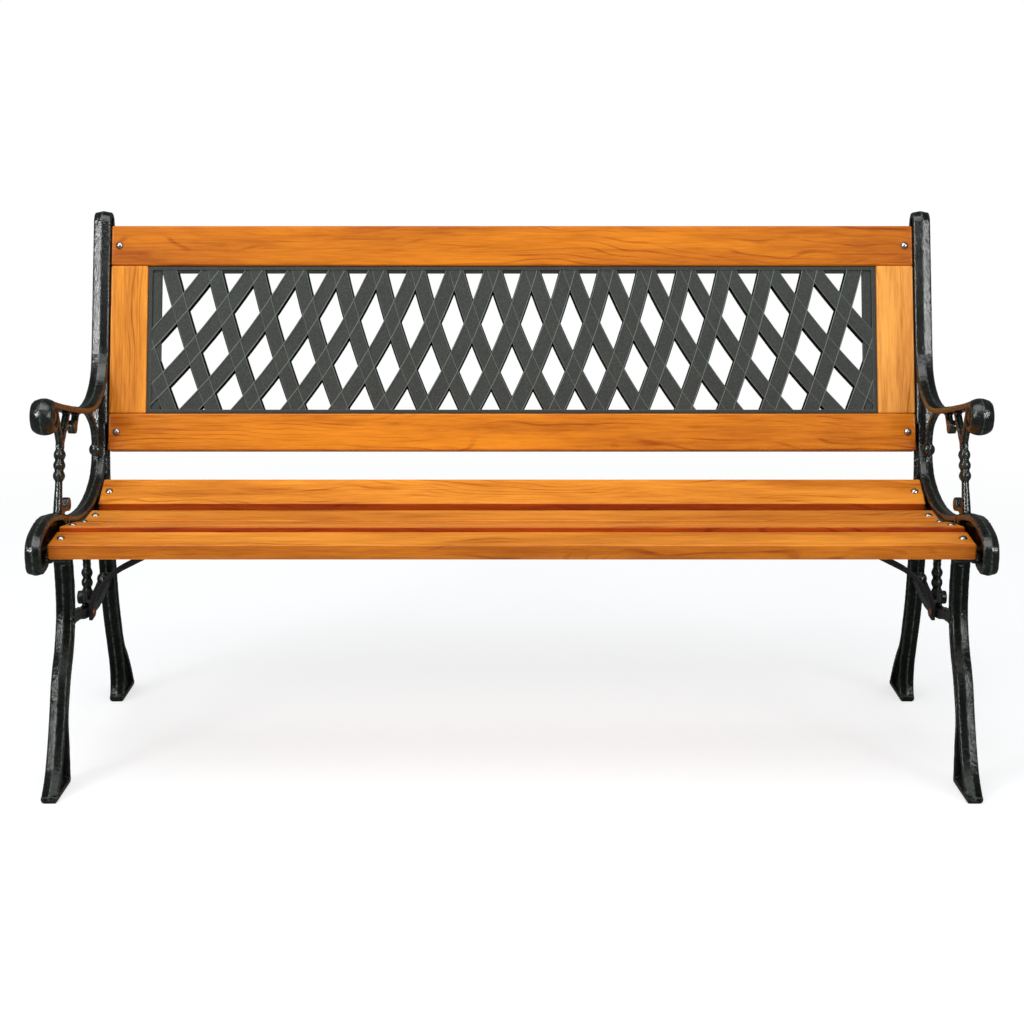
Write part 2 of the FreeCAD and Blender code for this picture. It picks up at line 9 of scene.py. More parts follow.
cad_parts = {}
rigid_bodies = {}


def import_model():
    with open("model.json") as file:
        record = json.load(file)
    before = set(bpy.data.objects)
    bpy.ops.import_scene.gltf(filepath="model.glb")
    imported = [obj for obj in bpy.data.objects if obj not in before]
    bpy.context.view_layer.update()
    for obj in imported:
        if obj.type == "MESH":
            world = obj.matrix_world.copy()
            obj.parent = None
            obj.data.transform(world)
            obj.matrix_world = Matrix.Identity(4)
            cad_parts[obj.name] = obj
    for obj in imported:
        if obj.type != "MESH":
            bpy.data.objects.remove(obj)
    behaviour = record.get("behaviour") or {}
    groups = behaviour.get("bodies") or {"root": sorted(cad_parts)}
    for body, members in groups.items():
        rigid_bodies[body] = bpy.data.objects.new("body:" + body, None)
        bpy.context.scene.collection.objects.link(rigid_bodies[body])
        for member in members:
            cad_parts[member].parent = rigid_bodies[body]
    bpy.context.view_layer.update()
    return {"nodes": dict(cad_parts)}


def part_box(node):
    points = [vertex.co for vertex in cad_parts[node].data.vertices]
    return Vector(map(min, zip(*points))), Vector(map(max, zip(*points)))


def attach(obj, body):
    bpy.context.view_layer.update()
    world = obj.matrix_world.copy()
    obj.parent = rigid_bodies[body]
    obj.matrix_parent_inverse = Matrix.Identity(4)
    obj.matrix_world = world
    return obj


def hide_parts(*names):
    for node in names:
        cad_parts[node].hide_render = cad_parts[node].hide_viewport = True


bl_info = {
    "name": "Garden Bench",
    "version": (1, 0, 0),
    "blender": (4, 5, 0),
    "location": "View3D > Sidebar > Bench",
    "description": "Builds the looks of a garden bench with cast ends, wooden boards and a lattice back",
    "category": "Add Mesh",
}

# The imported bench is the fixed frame; nothing else is in the scene
for item in list(bpy.data.objects):
    bpy.data.objects.remove(item)
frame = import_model()

BODY = "root"

# Directions of the boards; the backrest leans back
UP = Vector((0, 0, 1))
FRONT = Vector((0, -1, 0.3))
ALONG = Vector((1, 0, 0))
UP_THE_BACK = Vector((0, 0.3, 1))

# From one end of the bench to the other
MIRROR = Matrix.Diagonal((-1, 1, 1, 1))

# Each board: the side that faces the sitter, the way its grain runs, a place in the grain and a tint
BOARDS = {
    "seat_slat_front": (UP, ALONG, (0.3, 0.11, 0.02), "gold"),
    "seat_slat_second": (UP, ALONG, (2.9, 0.47, 0.31), "gold"),
    "seat_slat_middle": (UP, ALONG, (5.3, 0.83, 0.57), "plain"),
    "seat_slat_fourth": (UP, ALONG, (7.1, 1.29, 0.73), "gold"),
    "seat_slat_rear": (UP, ALONG, (9.7, 1.61, 0.91), "gold"),
    "backrest_top_rail": (FRONT, ALONG, (12.2, 1.97, 1.13), "red"),
    "backrest_bottom_rail": (FRONT, ALONG, (14.6, 2.39, 1.37), "plain"),
    "backrest_left_stile": (FRONT, UP_THE_BACK, (17.3, 2.81, 1.61), "amber"),
    "backrest_right_stile": (FRONT, UP_THE_BACK, (19.9, 3.23, 1.87), "pale"),
}

# How much each tint raises or lowers the red, green and blue of the wood
TINTS = {
    "plain": (1.0, 1.0, 1.0),
    "gold": (1.08, 1.20, 2.3),
    "amber": (1.12, 1.34, 2.5),
    "pale": (1.22, 1.70, 6.0),
    "red": (0.88, 0.84, 0.8),
    # The last two tints darken the front and back faces of the seat slats: painted shade
    "shade": (0.80, 0.74, 0.9),
    "deep_shade": (0.70, 0.30, 0.02),
}

# Front and back faces of the seat slats, darker than their tops as painted shade for the gaps between slats,
# and how far a face turns to be one
SHADED_SIDES = {
    "seat_slat_front": "shade",
    "seat_slat_second": "deep_shade",
    "seat_slat_middle": "deep_shade",
    "seat_slat_fourth": "deep_shade",
    "seat_slat_rear": "deep_shade",
}
EDGE_TURN = 0.6

# Boards with darker ends: where the darkening starts and ends, counted from the middle, and how dark it gets
DARK_ENDS = {
    "backrest_top_rail": (0.36, 0.20),
    "backrest_bottom_rail": (0.53, 0.28),
    "seat_slat_front": (0.53, 0.16),
}
BOARD_END = 0.585

# Finishes of the lattice, in the order in which its mesh holds them: plain faces; chamfers turned up, lighter
# for worn paint and a painted highlight; sides and chamfers turned down, near-black as painted shade
FLAT_FINISH, WORN_AND_LIT_EDGE, PAINTED_SHADE_SIDE = 0, 1, 2

# Strips of one fan: how many there are, and the first one's place counted from the middle of the panel
STRIP_COUNT = 18
FIRST_STRIP = -9.5

# How a strip's lean and bow change with its distance from the middle
LEAN_GROWTH = 0.154
LEAN_CURVE = 0.21
BOW_GROWTH = 0.0096


def length(label, description, default):
    return bpy.props.FloatProperty(name=label, description=description, default=default, unit="LENGTH",
                                   precision=5)


def colour(label, description, default):
    return bpy.props.FloatVectorProperty(name=label, description=description, default=default, size=3,
                                         subtype="COLOR", min=0, max=1)


class BenchSizes(bpy.types.PropertyGroup):
    """Sizes of the finish on each piece."""

    board_round: length("Board rounding", "Radius along the edges of the wooden boards", 0.0028)
    cast_grain: length("Casting grain", "Height of the roughness left by the sand mould", 0.00016)
    cast_voxel: length("Casting mesh", "Size of the mesh that softens the casting's corners", 0.0015)
    cast_softening: bpy.props.IntProperty(
        name="Casting softening", description="Rounds of smoothing on the casting", default=4, min=0)
    foot_round: length("Foot rounding", "Radius on the lower corners of the feet", 0.0045)
    foot_width: length("Foot width", "Width of a foot", 0.022)
    leg_top: length("Leg top", "Height below which the castings have the duller paint", 0.295)
    ridge_x: length("Ridge place", "Distance of the castings' ridges from the middle of the bench", 0.5975)
    ridge_width: length("Ridge width", "Width of the rubbed line on a ridge", 0.0010)
    strip_width: length("Strip width", "Width of a lattice strip at its back", 0.0248)
    strip_thickness: length("Strip thickness", "Depth of a lattice strip", 0.0105)
    strip_draft: length("Strip draft", "How much wider each side of a strip is at its back", 0.0021)
    strip_edge: length("Strip edge", "Width of the worn chamfer along a strip", 0.0008)
    strip_step: length("Strip step", "How far the crossing strips lie behind the others", 0.0010)
    strip_pitch: length("Strip pitch", "Distance between strips at the middle of the panel's top", 0.0551)
    strip_pitch_growth: bpy.props.FloatProperty(
        name="Pitch growth", description="Widening of the pitch to the sides", default=0.000053, precision=6)
    strip_shift: length("Strip lean", "Sideways run of the middle strip over the panel", 0.094)
    strip_bow: length("Strip bow", "Bend of the middle strip at half its height", 0.0079)
    line_width: length("Line width", "Width of the raised lines that cross the front strips", 0.0009)
    line_height: length("Line height", "Height of the raised lines that cross the front strips", 0.0002)
    rim_width: length("Rim width", "Width of the raised rim around the lattice", 0.006)
    rim_round: length("Rim rounding", "Chamfer on the rim and the ledges", 0.0013)
    bolt_head: length("Bolt head", "Diameter of a dome head", 0.011)
    bolt_dome: length("Bolt dome", "Height of a dome head", 0.0034)
    bolt_shank: length("Bolt shank", "Diameter of a bolt", 0.006)
    bolt_reach: length("Bolt reach", "Length of a bolt under its head", 0.037)
    bolt_inset: length("Bolt inset", "Distance of a bolt from the end of its board", 0.012)
    strap_round: length("Strap rounding", "Chamfer on the edges of the straps", 0.0005)


class BenchColours(bpy.types.PropertyGroup):
    """Colours of the finishes."""

    wood_light: colour("Wood, light", "Lacquered wood between the grain lines", (0.93, 0.31, 0.018))
    wood_dark: colour("Wood, dark", "Lacquered wood in the grain lines", (0.36, 0.070, 0.0015))
    iron: colour("Iron paint", "Paint of the castings", (0.0018, 0.0025, 0.0021))
    iron_cloud: colour("Iron clouds", "Lighter clouds in the paint of the castings", (0.0038, 0.0048, 0.0042))
    iron_worn: colour("Worn paint", "Paint rubbed thin on ridges and edges", (0.080, 0.108, 0.088))
    lattice: colour("Lattice", "Front of the lattice panel", (0.032, 0.034, 0.032))
    # Lighter lattice edges: part worn paint, part painted highlight where the chamfers face up
    lattice_edge_wear_and_highlight: colour("Lattice edge, worn and lit", "Rubbed edges of the lattice panel", (0.18, 0.225, 0.195))
    # Near-black strip sides and outer chamfers: painted shade in the deep gaps and around the panel
    lattice_side_shade: colour("Lattice side shade", "Sides of the lattice strips", (0.0025, 0.003, 0.003))
    strap: colour("Strap", "Paint of the strap braces", (0.016, 0.014, 0.019))
    steel: colour("Steel", "Dome bolts", (0.46, 0.44, 0.41))
    steel_speck: colour("Steel specks", "Dull specks on the dome bolts", (0.30, 0.22, 0.16))
    # Nuts, washers and screws under the boards are near-black as painted shade, as dark as the shade they sit
    # in
    steel_dark_as_shade: colour("Steel dark as in shade", "Nuts, washers and screws under the boards", (0.010, 0.010, 0.010))
    black_speck: colour("Steel dark as in shade specks", "Specks on the black steel", (0.03, 0.03, 0.03))
    copper: colour("Copper", "Bolts at the foot of the straps", (0.66, 0.36, 0.29))
    copper_speck: colour("Copper specks", "Dull specks on the strap bolts", (0.30, 0.13, 0.09))
    bare_wood: colour("Bare wood", "Dowels", (0.55, 0.36, 0.19))
    bare_speck: colour("Bare wood specks", "Pores of the dowels", (0.30, 0.17, 0.08))
    floor: colour("Floor", "Studio floor", (0.80, 0.80, 0.80))
    floor_shade: colour("Floor in shade", "What the lamps add to the floor's glow", (0.45, 0.475, 0.49))


# Shader trees

def put(tree, socket, value):
    """Links a socket or sets a constant."""
    if isinstance(value, bpy.types.NodeSocket):
        tree.links.new(value, socket)
    else:
        socket.default_value = value


def add(tree, kind, inputs=None, **settings):
    made = tree.nodes.new(kind)
    for name, value in settings.items():
        setattr(made, name, value)
    for name, value in (inputs or {}).items():
        put(tree, made.inputs[name], value)
    return made


def math_node(tree, operation, first, second=0.0, clamp=False):
    made = add(tree, "ShaderNodeMath", {0: first, 1: second}, operation=operation, use_clamp=clamp)
    return made.outputs[0]


def plus(tree, first, second, clamp=False):
    return math_node(tree, "ADD", first, second, clamp)


def times(tree, first, second):
    return math_node(tree, "MULTIPLY", first, second)


def ramp(tree, value, low, high, out_low=0.0, out_high=1.0):
    """Goes smoothly from one result to another as a value goes from low to high."""
    made = add(tree, "ShaderNodeMapRange", {"Value": value, "From Min": low, "From Max": high,
                                            "To Min": out_low, "To Max": out_high},
               interpolation_type="SMOOTHSTEP")
    return made.outputs["Result"]


def mix(tree, factor, first, second):
    """Blends two colours, through the colour sockets of the mix node."""
    made = add(tree, "ShaderNodeMix", {"Factor": factor}, data_type="RGBA")
    put(tree, made.inputs[6], first)
    put(tree, made.inputs[7], second)
    return made.outputs[2]


def noise_of(tree, vector, scale, detail=3.0, roughness=0.5):
    made = add(tree, "ShaderNodeTexNoise", {"Vector": vector, "Scale": scale, "Detail": detail,
                                            "Roughness": roughness})
    return made.outputs["Fac"]


def stretched_noise(tree, vector, scale, detail=3.0, roughness=0.5):
    """Noise with its own scale along each axis."""
    spot = add(tree, "ShaderNodeVectorMath", {0: vector, 1: scale}, operation="MULTIPLY").outputs[0]
    return noise_of(tree, spot, 1.0, detail, roughness)


def new_group(name, inputs, outputs):
    tree = bpy.data.node_groups.new(name, "ShaderNodeTree")
    for label, kind in inputs:
        tree.interface.new_socket(label, in_out="INPUT", socket_type=kind)
    for label, kind in outputs:
        tree.interface.new_socket(label, in_out="OUTPUT", socket_type=kind)
    return tree, add(tree, "NodeGroupInput").outputs, add(tree, "NodeGroupOutput")


VECTOR, COLOUR, VALUE = "NodeSocketVector", "NodeSocketColor", "NodeSocketFloat"
SURFACE = [("Color", COLOUR), ("Roughness", VALUE), ("Height", VALUE)]


def put_out(tree, end, values):
    for label, value in values.items():
        tree.links.new(value, end.inputs[label])


def grain_group():
    """Wood with x along the board: broad bands, patches, streaks, growth lines and fine fibre."""
    name = "Board grain"
    if name in bpy.data.node_groups:
        return bpy.data.node_groups[name]
    tree, given, end = new_group(name, [("Vector", VECTOR), ("Light", COLOUR), ("Dark", COLOUR),
                                        ("Ends", VALUE)], SURFACE)
    place = given["Vector"]
    broad = stretched_noise(tree, place, (2.6, 22, 22))
    patch = stretched_noise(tree, place, (8, 60, 60), 4.0, 0.6)
    streak = stretched_noise(tree, place, (24, 380, 380), 5.0, 0.6)
    hair = stretched_noise(tree, place, (5, 260, 260), 3.0, 0.6)
    fibre = stretched_noise(tree, place, (16, 520, 520), 2.0)

    # Growth lines run along the board, wander with a slow drift and fade in and out
    parts = add(tree, "ShaderNodeSeparateXYZ", {0: place}).outputs
    across = plus(tree, parts["Y"], times(tree, parts["Z"], 0.6))
    drift = stretched_noise(tree, place, (3.2, 9, 9), 2.0)
    rings = plus(tree, times(tree, across, 105.0), times(tree, drift, 13.0))
    wave = math_node(tree, "SINE", times(tree, rings, 2 * math.pi))
    fading = ramp(tree, stretched_noise(tree, place, (5, 40, 40)), 0.42, 0.68)
    lines = times(tree, ramp(tree, wave, 0.62, 1.0), fading)

    depth = times(tree, math_node(tree, "SUBTRACT", fibre, 0.5), 0.25)
    depth = plus(tree, depth, plus(tree, given["Ends"], 0.05))
    for layer, low, high, weight in ((broad, 0.30, 0.72, 0.40), (patch, 0.34, 0.70, 0.26),
                                     (streak, 0.38, 0.66, 0.18), (hair, 0.58, 0.70, 0.20)):
        depth = plus(tree, depth, ramp(tree, layer, low, high, 0, weight))
    depth = plus(tree, depth, times(tree, lines, 0.36), True)
    put_out(tree, end, {
        "Color": mix(tree, depth, given["Light"], given["Dark"]),
        "Roughness": ramp(tree, broad, 0.2, 0.8, 0.30, 0.42),
        "Height": plus(tree, times(tree, fibre, 0.35), times(tree, lines, -0.4)),
    })
    return tree


def cast_group():
    """Painted cast surface: slow waves, sandy grain and rubbed broken lines on ridges."""
    name = "Cast paint"
    if name in bpy.data.node_groups:
        return bpy.data.node_groups[name]
    tree, given, end = new_group(name, [("Vector", VECTOR), ("Paint", COLOUR), ("Cloud", COLOUR),
                                        ("Worn", COLOUR), ("Edge", VALUE)], SURFACE)
    place = given["Vector"]
    clouds = noise_of(tree, place, 26.0)
    waves = noise_of(tree, place, 48.0, 2.0)
    grain = noise_of(tree, place, 260.0, 3.0, 0.6)
    sand = noise_of(tree, place, 1100.0, 2.0, 0.6)
    broken = ramp(tree, noise_of(tree, place, 210.0, 3.0, 0.65), 0.40, 0.62)
    rubbed = times(tree, given["Edge"], plus(tree, times(tree, broken, 0.8), 0.2))
    speck = times(tree, ramp(tree, grain, 0.60, 0.78), 0.10)
    paint = mix(tree, ramp(tree, clouds, 0.35, 0.7), given["Paint"], given["Cloud"])
    height = plus(tree, times(tree, grain, 0.85), times(tree, sand, 0.14))
    put_out(tree, end, {
        "Color": mix(tree, plus(tree, rubbed, speck, True), paint, given["Worn"]),
        "Roughness": plus(tree, ramp(tree, clouds, 0.3, 0.7, 0.09, 0.17), times(tree, sand, 0.06)),
        "Height": plus(tree, height, times(tree, waves, 0.8)),
    })
    return tree


def speckle_group():
    """A fine even texture: small specks of a second colour over slow clouds."""
    name = "Fine speckle"
    if name in bpy.data.node_groups:
        return bpy.data.node_groups[name]
    tree, given, end = new_group(name, [("Vector", VECTOR), ("Base", COLOUR), ("Speck", COLOUR),
                                        ("Amount", VALUE), ("Rough", VALUE)], SURFACE)
    place = given["Vector"]
    clouds = noise_of(tree, place, 18.0)
    fine = noise_of(tree, place, 480.0, 4.0, 0.75)
    specks = times(tree, ramp(tree, fine, 0.35, 0.75), given["Amount"])
    mask = plus(tree, specks, times(tree, ramp(tree, clouds, 0.4, 0.7), 0.03), True)
    uneven = times(tree, math_node(tree, "SUBTRACT", fine, 0.5), 0.2)
    put_out(tree, end, {
        "Color": mix(tree, mask, given["Base"], given["Speck"]),
        "Roughness": plus(tree, given["Rough"], uneven),
        "Height": fine,
    })
    return tree


def surfaced(name, group, inputs, bump, settings, place=None):
    """A material whose colour, roughness and relief come from a group read in the bench's own space."""
    material = bpy.data.materials.new(name)
    material.use_nodes = True
    tree = material.node_tree
    shader = tree.nodes["Principled BSDF"]
    spot = add(tree, "ShaderNodeTexCoord").outputs["Object"]
    effect = add(tree, "ShaderNodeGroup", node_tree=group)
    for label, value in inputs.items():
        if label == "Edge":
            value = add(tree, "ShaderNodeAttribute", attribute_name=value).outputs["Fac"]
        if label == "Ends":
            start, weight = value
            from_middle = add(tree, "ShaderNodeSeparateXYZ", {0: spot}).outputs["X"]
            from_middle = math_node(tree, "ABSOLUTE", from_middle)
            value = ramp(tree, from_middle, start, BOARD_END, 0, weight)
        put(tree, effect.inputs[label], value)
    if place:
        location, rotation = place
        spot = add(tree, "ShaderNodeMapping", {"Vector": spot, "Location": location,
                                               "Rotation": rotation}).outputs[0]
    tree.links.new(spot, effect.inputs["Vector"])
    tree.links.new(effect.outputs["Color"], shader.inputs["Base Color"])
    tree.links.new(effect.outputs["Roughness"], shader.inputs["Roughness"])
    relief = add(tree, "ShaderNodeBump", {"Height": effect.outputs["Height"], "Distance": bump,
                                          "Strength": 1.0})
    tree.links.new(relief.outputs["Normal"], shader.inputs["Normal"])
    for label, value in settings.items():
        shader.inputs[label].default_value = value
    return material


def rgba(value, gain=1.0):
    return tuple(channel * gain for channel in value) + (1.0,)


def tinted(value, tint):
    return tuple(channel * gain for channel, gain in zip(value, TINTS[tint])) + (1.0,)


def wood_finish(name, space, seed, tint, ends):
    """Lacquered wood, with the grain laid out in the board's own space."""
    colours = bpy.context.scene.bench_colours
    turned = space.to_3x3().transposed()
    place = (Vector(seed) - turned @ space.translation, turned.to_euler())
    inputs = {"Light": tinted(colours.wood_light, tint), "Dark": tinted(colours.wood_dark, tint),
              "Ends": ends}
    lacquer = {"Coat Weight": 0.22, "Coat Roughness": 0.09, "Specular IOR Level": 0.12}
    return surfaced(name, grain_group(), inputs, bump=0.00012, settings=lacquer, place=place)


def iron_finish(name, gloss):
    """Black paint on a sand casting, rubbed thin where worn_edge is high."""
    colours = bpy.context.scene.bench_colours
    inputs = {"Paint": rgba(colours.iron), "Cloud": rgba(colours.iron_cloud), "Worn": rgba(colours.iron_worn),
              "Edge": "worn_edge"}
    return surfaced(name, cast_group(), inputs, bump=0.0007, settings={"Specular IOR Level": gloss})


def plain_finish(name, base, speck, amount, rough, bump, settings):
    inputs = {"Base": rgba(base), "Speck": rgba(speck), "Amount": amount, "Rough": rough}
    return surfaced(name, speckle_group(), inputs, bump, settings)


def metal(name, base, speck, amount, rough, bump=0.00004):
    return plain_finish(name, base, speck, amount, rough, bump, {"Metallic": 1.0})


def dull(name, base, speck, amount, rough, bump, specular):
    return plain_finish(name, base, speck, amount, rough, bump, {"Specular IOR Level": specular})


# Shapes

def cad_copy(node):
    """A CAD node's mesh with its loose triangles merged."""
    bm = bmesh.new()
    bm.from_mesh(frame["nodes"][node].data)
    bmesh.ops.remove_doubles(bm, verts=bm.verts, dist=1e-6)
    return bm


def board_space(node, least_facing=0.7):
    """The matrix from a CAD board's own length, width and thickness to the bench, and the board's size."""
    facing, along = BOARDS[node][:2]
    bm = cad_copy(node)
    areas = {}
    for face in bm.faces:
        key = tuple(round(value, 4) for value in face.normal)
        areas[key] = areas.get(key, 0) + face.calc_area()
    faced = [key for key in areas if Vector(key).dot(facing.normalized()) > least_facing]
    outward = Vector(max(faced, key=areas.get)).normalized()
    grain = (along - outward * along.dot(outward)).normalized()
    turn = Matrix((grain, outward.cross(grain), outward)).transposed()
    spots = [turn.transposed() @ vert.co for vert in bm.verts]
    bm.free()
    low = Vector(min(spot[axis] for spot in spots) for axis in range(3))
    high = Vector(max(spot[axis] for spot in spots) for axis in range(3))
    return Matrix.Translation(turn @ ((low + high) / 2)) @ turn.to_4x4(), high - low


def sharp_edges(bm, angle):
    return [edge for edge in bm.edges if edge.calc_face_angle(0) > angle]


def rounded(bm, edges, radius, segments):
    bmesh.ops.bevel(bm, geom=edges, offset=radius, offset_type="OFFSET", affect="EDGES", segments=segments,
                    profile=0.5, material=-1)


def shown(name, bm, nodes, materials):
    """Makes a bmesh a piece of the bench that stands for CAD nodes."""
    mesh = bpy.data.meshes.new(name)
    bm.to_mesh(mesh)
    bm.free()
    return shown_mesh(name, mesh, nodes, materials)


def shown_mesh(name, mesh, nodes, materials):
    """Makes a mesh a piece of the bench that stands for CAD nodes."""
    mesh.shade_smooth()
    for material in materials:
        mesh.materials.append(material)
    piece = bpy.data.objects.new(name, mesh)
    bpy.context.scene.collection.objects.link(piece)
    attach(piece, BODY)
    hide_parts(*nodes)
    return piece


def even_normals(piece):
    weighted = piece.modifiers.new("Even normals", "WEIGHTED_NORMAL")
    weighted.keep_sharp = True


# Castings

def soften(mesh_object, voxel, rounds, kept):
    """The object's mesh, rebuilt in small cells, smoothed and thinned to a share of its triangles."""
    rebuilt = mesh_object.modifiers.new("Rebuild", "REMESH")
    rebuilt.mode = "VOXEL"
    rebuilt.voxel_size = voxel
    smoothed = mesh_object.modifiers.new("Soften", "SMOOTH")
    smoothed.factor = 0.5
    smoothed.iterations = rounds
    thinned = mesh_object.modifiers.new("Thin out", "DECIMATE")
    thinned.ratio = kept
    graph = bpy.context.evaluated_depsgraph_get()
    return bpy.data.meshes.new_from_object(mesh_object.evaluated_get(graph))


def read(collection, key, width):
    values = np.zeros(len(collection) * width, dtype=np.float32 if key != "vertices" else np.int32)
    collection.foreach_get(key, values)
    return values.reshape(-1, width)


def move(mesh, points):
    mesh.vertices.foreach_set("co", points.ravel())
    mesh.update()


def mark_worn_edges(mesh, passes, full, ridge_x, ridge_width):
    """Stores as worn_edge how far a point stands out from its neighbours or how near it is to a ridge."""
    points = read(mesh.vertices, "co", 3)
    normals = read(mesh.vertices, "normal", 3)
    pairs = read(mesh.edges, "vertices", 2)
    first, second = pairs[:, 0], pairs[:, 1]
    step = points[first] - points[second]
    reach = np.linalg.norm(step, axis=1) + 1e-9
    total = np.zeros(len(points))
    count = np.zeros(len(points))
    np.add.at(total, first, (normals[first] * step).sum(axis=1) / reach)
    np.add.at(total, second, -(normals[second] * step).sum(axis=1) / reach)
    np.add.at(count, first, 1)
    np.add.at(count, second, 1)
    bend = total / np.maximum(count, 1)
    for _ in range(passes):
        total = bend.copy()
        np.add.at(total, first, bend[second])
        np.add.at(total, second, bend[first])
        bend = total / (count + 1)
    from_ridge = (np.abs(points[:, 0]) - ridge_x) / ridge_width
    off_sides = np.abs(normals[:, 0]) < 0.5
    ridge = np.exp(-from_ridge ** 2) * off_sides
    worn = mesh.attributes.new("worn_edge", "FLOAT", "POINT")
    worn.data.foreach_set("value", np.clip(np.maximum(bend / full, ridge), 0, 1).astype(np.float32))


def roughen(mesh, height, coarse=260, fine=640, fine_share=0.6, sunk=0.9):
    """Draws the points in by uneven amounts, as a sand mould leaves them."""
    points = read(mesh.vertices, "co", 3)
    normals = read(mesh.vertices, "normal", 3)
    spots = [Vector(point) for point in points.tolist()]
    grain = [noise.noise(spot * coarse) + fine_share * noise.noise(spot * fine) for spot in spots]
    points += normals * ((np.array(grain, dtype=np.float32) - sunk) * height)[:, None]
    move(mesh, points)


def round_feet(mesh, middle, width, radius):
    """Draws the lower corners of the feet in along a quarter circle."""
    points = read(mesh.vertices, "co", 3)
    low = np.clip(1 - points[:, 2] / radius, 0, 1)
    inset = radius * (1 - np.sqrt(1 - low ** 2))
    points[:, 0] -= np.clip((points[:, 0] - middle) * 2 / width, -1, 1) * inset
    move(mesh, points)


def dull_below(mesh, height):
    """Faces below a height get the second finish."""
    centres = read(mesh.polygons, "center", 3)
    mesh.polygons.foreach_set("material_index", (centres[:, 2] < height).astype(np.int32))


class BENCH_OT_castings(bpy.types.Operator):
    """Build both cast end frames with soft corners, sandy grain and worn ridges"""

    bl_idname = "bench.castings"
    bl_label = "Cast end frames"

    def execute(self, context):
        sizes = context.scene.bench_sizes
        rough = bpy.data.meshes.new("casting_blank")
        bm = cad_copy("end_frame_right")
        bm.to_mesh(rough)
        bm.free()
        blank = bpy.data.objects.new("casting_blank", rough)
        context.scene.collection.objects.link(blank)
        mesh = soften(blank, sizes.cast_voxel, sizes.cast_softening, kept=0.62)
        bpy.data.objects.remove(blank)
        round_feet(mesh, sizes.ridge_x, sizes.foot_width, sizes.foot_round)
        mark_worn_edges(mesh, passes=1, full=0.22, ridge_x=sizes.ridge_x, ridge_width=sizes.ridge_width)
        roughen(mesh, sizes.cast_grain)
        dull_below(mesh, sizes.leg_top)
        finishes = [iron_finish("Painted cast iron", gloss=0.62), iron_finish("Duller cast iron", gloss=0.25)]
        other = mesh.copy()
        other.transform(MIRROR)
        other.flip_normals()
        shown_mesh("casting_right", mesh, ["end_frame_right"], finishes)
        shown_mesh("casting_left", other, ["end_frame_left"], finishes)
        return {"FINISHED"}


class BENCH_OT_boards(bpy.types.Operator):
    """Build the seat slats and the four boards of the backrest"""

    bl_idname = "bench.boards"
    bl_label = "Wooden boards"

    def execute(self, context):
        sizes = context.scene.bench_sizes
        for node, (_, _, seed, tint) in BOARDS.items():
            space, size = board_space(node)
            bm = bmesh.new()
            bmesh.ops.create_cube(bm, size=1)
            bmesh.ops.scale(bm, vec=size, verts=bm.verts)
            rounded(bm, bm.edges[:], sizes.board_round, segments=4)
            ends = DARK_ENDS.get(node, (0, 0))
            finishes = [wood_finish("Lacquered " + node, space, seed, tint, ends)]
            # The front and back faces of the seat slats get a darker copy of their wood: painted shade
            if node in SHADED_SIDES:
                for face in bm.faces:
                    face.material_index = int(abs(face.normal.y) > EDGE_TURN)
                finishes.append(wood_finish("Shaded side of " + node, space, seed, SHADED_SIDES[node], ends))
            bmesh.ops.transform(bm, matrix=space, verts=bm.verts)
            even_normals(shown("board_" + node, bm, [node], finishes))
        return {"FINISHED"}


# Lattice panel, with x along the bench, y up the panel from its lower edge, z out of the front of the wood

def panel_space():
    """The matrix from the panel to the bench, half the panel's width and its height."""
    rail, rail_size = board_space("backrest_top_rail")
    height = board_space("backrest_right_stile")[1].x
    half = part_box("backrest_right_stile")[0].x
    low = Vector((0, -rail_size.y / 2 - height, rail_size.z / 2))
    return rail @ Matrix.Translation(low), half, height


def circle_through(first, second, third):
    """Centre of the circle through three points of a plane."""
    span, chord = second - first, third - first
    twice = 2 * (span.x * chord.y - span.y * chord.x)
    return first + Vector((chord.y * span.length_squared - span.y * chord.length_squared,
                           span.x * chord.length_squared - chord.x * span.length_squared)) / twice


def strip_bend(sizes, index, height):
    """Centre of a strip's bend and the places of its top and its foot."""
    top_x = sizes.strip_pitch * index + sizes.strip_pitch_growth * index ** 3
    shift = sizes.strip_shift + LEAN_GROWTH * top_x + LEAN_CURVE * top_x ** 2
    bow = sizes.strip_bow + BOW_GROWTH * top_x
    top = Vector((top_x, height))
    foot = Vector((top_x + shift, 0))
    return circle_through(top, (top + foot) / 2 - Vector((bow, 0)), foot), top, foot


def bent_bar(section, centre, start, end, steps=14, overrun=0.02):
    """A bar of (outward, z) points, swung about a centre from one place to another and a little past both."""
    bm = bmesh.new()
    arm = start - centre
    turn = arm.angle_signed(end - centre)
    over = math.copysign(overrun / arm.length, turn)
    outward = Matrix.Rotation(over, 2) @ arm.normalized()
    verts = [bm.verts.new((*(centre + outward * (arm.length + away)), level)) for away, level in section]
    face = bm.faces.new(verts)
    bmesh.ops.spin(bm, geom=[face], cent=(*centre, 0), axis=(0, 0, -1), angle=turn + 2 * over, steps=steps)
    bmesh.ops.recalc_face_normals(bm, faces=bm.faces)
    return bm


def trim(bm, half, low, high):
    """Cuts a bar back to the panel and closes its ends."""
    for place, normal in (((half, 0, 0), (1, 0, 0)), ((-half, 0, 0), (-1, 0, 0)),
                          ((0, high, 0), (0, 1, 0)), ((0, low, 0), (0, -1, 0))):
        whole = bm.verts[:] + bm.edges[:] + bm.faces[:]
        bmesh.ops.bisect_plane(bm, geom=whole, plane_co=place, plane_no=normal, clear_outer=True)
        bmesh.ops.holes_fill(bm, edges=bm.edges[:])


